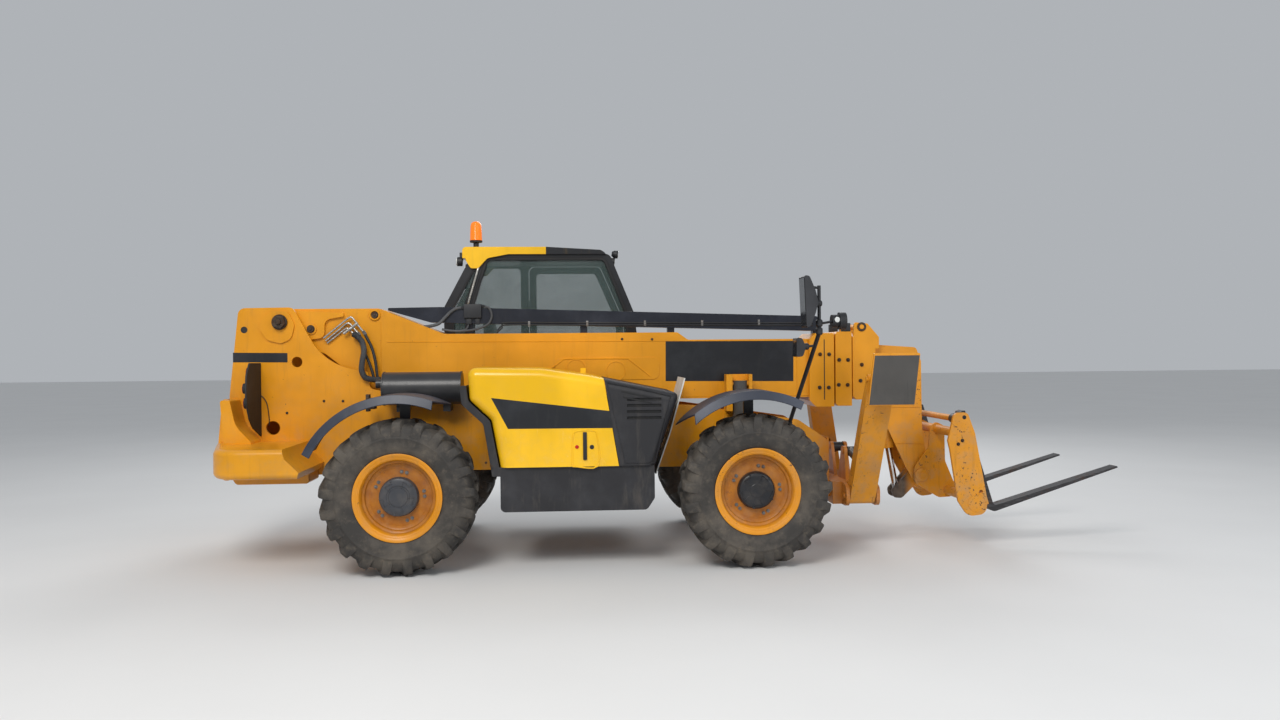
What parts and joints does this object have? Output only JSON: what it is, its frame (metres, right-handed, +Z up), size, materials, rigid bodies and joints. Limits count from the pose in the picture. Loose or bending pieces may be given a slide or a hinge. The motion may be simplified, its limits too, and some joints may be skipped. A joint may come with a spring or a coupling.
{
  "type": "telehandler",
  "caption": "Telescopic handler with a side cab, a nested lifting boom, a tilting fork frame, steered wheels and fold-down stabilisers.",
  "frame": {"origin": "on the ground, midway between the rear end and the fork tips and between the sides", "axes": "+X forwards along the boom, +Y to the machine's left (the cab side), +Z up"},
  "size_m": [7.6419, 2.457, 2.9373],
  "materials": {
    "body_paint": "gloss",
    "hood_paint": "gloss",
    "cab_paint": "satin",
    "dark_paint": "satin",
    "rim_paint": "satin",
    "tyre_rubber": "matte",
    "black_plastic": "matte",
    "engine_cast": "rough",
    "chrome_rod": "polished",
    "glass": "clear",
    "amber_lens": "gloss",
    "seat_cloth": "matte"
  },
  "bodies": {
    "chassis": {"chassis_frame": "body_paint", "rear_weight": "body_paint", "lamp_boards": "black_plastic", "front_axle": "dark_paint", "rear_axle": "dark_paint", "engine_tray": "black_plastic", "engine_block": "engine_cast", "silencer": "dark_paint", "splash_guard": "black_plastic", "fuel_tank": "black_plastic", "cab_frame": "cab_paint", "cab_windows": "glass", "cab_roof": "hood_paint", "driver_seat": "seat_cloth", "cab_controls": "black_plastic", "beacon": "amber_lens", "work_lamps": "black_plastic", "right_mirror": "black_plastic", "levelling_ram": "body_paint"},
    "front_left_knuckle": {"knuckle_front_left": "dark_paint", "guard_front_left": "black_plastic"},
    "front_left_wheel": {"tyre_front_left": "tyre_rubber", "rim_front_left": "rim_paint"},
    "front_right_knuckle": {"knuckle_front_right": "dark_paint", "guard_front_right": "black_plastic"},
    "front_right_wheel": {"tyre_front_right": "tyre_rubber", "rim_front_right": "rim_paint"},
    "rear_left_knuckle": {"knuckle_rear_left": "dark_paint", "guard_rear_left": "black_plastic"},
    "rear_left_wheel": {"tyre_rear_left": "tyre_rubber", "rim_rear_left": "rim_paint"},
    "rear_right_knuckle": {"knuckle_rear_right": "dark_paint", "guard_rear_right": "black_plastic"},
    "rear_right_wheel": {"tyre_rear_right": "tyre_rubber", "rim_rear_right": "rim_paint"},
    "boom_base": {"boom_outer": "body_paint", "hose_tray": "body_paint"},
    "boom_middle": {"boom_second": "body_paint"},
    "boom_inner": {"boom_third": "body_paint"},
    "boom_head": {"boom_nose": "body_paint"},
    "carriage": {"tool_carrier": "body_paint", "fork_frame": "dark_paint", "forks": "dark_paint"},
    "lift_barrel": {"lift_ram_barrel": "body_paint"},
    "lift_rod": {"lift_ram_rod": "chrome_rod"},
    "tilt_barrel": {"tilt_ram_barrel": "body_paint"},
    "tilt_rod": {"tilt_ram_rod": "chrome_rod"},
    "hood": {"engine_hood": "hood_paint", "hood_grille": "black_plastic"},
    "door": {"door_frame": "cab_paint", "door_window": "glass"},
    "left_leg": {"stabiliser_leg_left": "body_paint"},
    "left_pad": {"stabiliser_pad_left": "body_paint"},
    "left_leg_barrel": {"stabiliser_ram_left_barrel": "body_paint"},
    "left_leg_rod": {"stabiliser_ram_left_rod": "chrome_rod"},
    "right_leg": {"stabiliser_leg_right": "body_paint"},
    "right_pad": {"stabiliser_pad_right": "body_paint"},
    "right_leg_barrel": {"stabiliser_ram_right_barrel": "body_paint"},
    "right_leg_rod": {"stabiliser_ram_right_rod": "chrome_rod"}
  },
  "joints": [
    {"name": "front_left_steering", "type": "hinge", "parent": "chassis", "child": "front_left_knuckle", "pos_m": [0.569, 0.82, 0.6], "axis": [0, 0, 1], "range_deg": [-28, 28]},
    {"name": "front_left_roll", "type": "hinge", "parent": "front_left_knuckle", "child": "front_left_wheel", "pos_m": [0.569, 1.02, 0.6], "axis": [0, 1, 0], "continuous": true},
    {"name": "front_right_steering", "type": "hinge", "parent": "chassis", "child": "front_right_knuckle", "pos_m": [0.569, -0.82, 0.6], "axis": [0, 0, 1], "range_deg": [-28, 28]},
    {"name": "front_right_roll", "type": "hinge", "parent": "front_right_knuckle", "child": "front_right_wheel", "pos_m": [0.569, -1.02, 0.6], "axis": [0, 1, 0], "continuous": true},
    {"name": "rear_left_steering", "type": "hinge", "parent": "chassis", "child": "rear_left_knuckle", "pos_m": [-2.181, 0.82, 0.6], "axis": [0, 0, 1], "range_deg": [-28, 28]},
    {"name": "rear_left_roll", "type": "hinge", "parent": "rear_left_knuckle", "child": "rear_left_wheel", "pos_m": [-2.181, 1.02, 0.6], "axis": [0, 1, 0], "continuous": true},
    {"name": "rear_right_steering", "type": "hinge", "parent": "chassis", "child": "rear_right_knuckle", "pos_m": [-2.181, -0.82, 0.6], "axis": [0, 0, 1], "range_deg": [-28, 28]},
    {"name": "rear_right_roll", "type": "hinge", "parent": "rear_right_knuckle", "child": "rear_right_wheel", "pos_m": [-2.181, -1.02, 0.6], "axis": [0, 1, 0], "continuous": true},
    {"name": "boom_lift", "type": "hinge", "parent": "chassis", "child": "boom_base", "pos_m": [-3.275, 0, 1.961], "axis": [0, -1, 0], "range_deg": [0, 68]},
    {"name": "stage_two_slide", "type": "slide", "parent": "boom_base", "child": "boom_middle", "axis": [1, 0, 0], "range_m": [0, 3.1]},
    {"name": "stage_three_slide", "type": "slide", "parent": "boom_middle", "child": "boom_inner", "axis": [1, 0, 0], "range_m": [0, 3.1]},
    {"name": "stage_four_slide", "type": "slide", "parent": "boom_inner", "child": "boom_head", "axis": [1, 0, 0], "range_m": [0, 3.1]},
    {"name": "fork_tilt", "type": "hinge", "parent": "boom_head", "child": "carriage", "pos_m": [2.225, 0, 0.576], "axis": [0, 1, 0], "range_deg": [-10, 90]},
    {"name": "lift_barrel_swing", "type": "hinge", "parent": "chassis", "child": "lift_barrel", "pos_m": [-2.781, 0, 0.86], "axis": [0, -1, 0], "range_deg": [0, 61]},
    {"name": "lift_rod_slide", "type": "slide", "parent": "lift_barrel", "child": "lift_rod", "axis": [0.9858, 0, 0.1679], "range_m": [0, 1.41]},
    {"name": "tilt_barrel_swing", "type": "hinge", "parent": "boom_head", "child": "tilt_barrel", "pos_m": [1.909, 0, 1.25], "axis": [0, -1, 0], "range_deg": [-1, 2]},
    {"name": "tilt_rod_slide", "type": "slide", "parent": "tilt_barrel", "child": "tilt_rod", "axis": [0.176, 0, -0.9844], "range_m": [-0.338, 0.04]},
    {"name": "left_leg_swing", "type": "hinge", "parent": "chassis", "child": "left_leg", "pos_m": [1.584, 0.5, 0.45], "axis": [-1, 0, 0], "range_deg": [0, 76]},
    {"name": "left_pad_tilt", "type": "hinge", "parent": "left_leg", "child": "left_pad", "pos_m": [1.584, 1.05753, 1.45581], "axis": [-1, 0, 0], "range_deg": [-12, 12]},
    {"name": "left_leg_barrel_swing", "type": "hinge", "parent": "chassis", "child": "left_leg_barrel", "pos_m": [1.584, 0.22, 0.8], "axis": [-1, 0, 0], "range_deg": [0, 26]},
    {"name": "left_leg_rod_slide", "type": "slide", "parent": "left_leg_barrel", "child": "left_leg_rod", "axis": [0, 0.9794, -0.2017], "range_m": [0, 0.305]},
    {"name": "right_leg_swing", "type": "hinge", "parent": "chassis", "child": "right_leg", "pos_m": [1.584, -0.5, 0.45], "axis": [1, 0, 0], "range_deg": [0, 76]},
    {"name": "right_pad_tilt", "type": "hinge", "parent": "right_leg", "child": "right_pad", "pos_m": [1.584, -1.05753, 1.45581], "axis": [1, 0, 0], "range_deg": [-12, 12]},
    {"name": "right_leg_barrel_swing", "type": "hinge", "parent": "chassis", "child": "right_leg_barrel", "pos_m": [1.584, -0.22, 0.8], "axis": [1, 0, 0], "range_deg": [0, 26]},
    {"name": "right_leg_rod_slide", "type": "slide", "parent": "right_leg_barrel", "child": "right_leg_rod", "axis": [0, -0.9794, -0.2017], "range_m": [0, 0.305]},
    {"name": "hood_lift", "type": "hinge", "parent": "chassis", "child": "hood", "pos_m": [-1.481, -0.396, 1.5], "axis": [-1, 0, 0], "range_deg": [0, 60]},
    {"name": "door_swing", "type": "hinge", "parent": "chassis", "child": "door", "pos_m": [-1.276, 1.216, 1.15], "axis": [0, 0, 1], "range_deg": [0, 95]}
  ],
  "couplings": [
    {"joint": "front_right_steering", "follows": "front_left_steering", "ratio": 1},
    {"joint": "rear_right_steering", "follows": "rear_left_steering", "ratio": 1},
    {"joint": "stage_three_slide", "follows": "stage_two_slide", "ratio": 1},
    {"joint": "stage_four_slide", "follows": "stage_two_slide", "ratio": 1},
    {"joint": "lift_barrel_swing", "follows": "boom_lift", "ratio": 0.888},
    {"joint": "lift_rod_slide", "follows": "boom_lift", "m_per_rad": 1.185},
    {"joint": "tilt_barrel_swing", "follows": "fork_tilt", "ratio": 0.01474},
    {"joint": "tilt_rod_slide", "follows": "fork_tilt", "m_per_rad": -0.214},
    {"joint": "left_leg_barrel_swing", "follows": "left_leg_swing", "ratio": 0.3284},
    {"joint": "left_leg_rod_slide", "follows": "left_leg_swing", "m_per_rad": 0.2271},
    {"joint": "right_leg_barrel_swing", "follows": "right_leg_swing", "ratio": 0.3284},
    {"joint": "right_leg_rod_slide", "follows": "right_leg_swing", "m_per_rad": 0.2271}
  ]
}
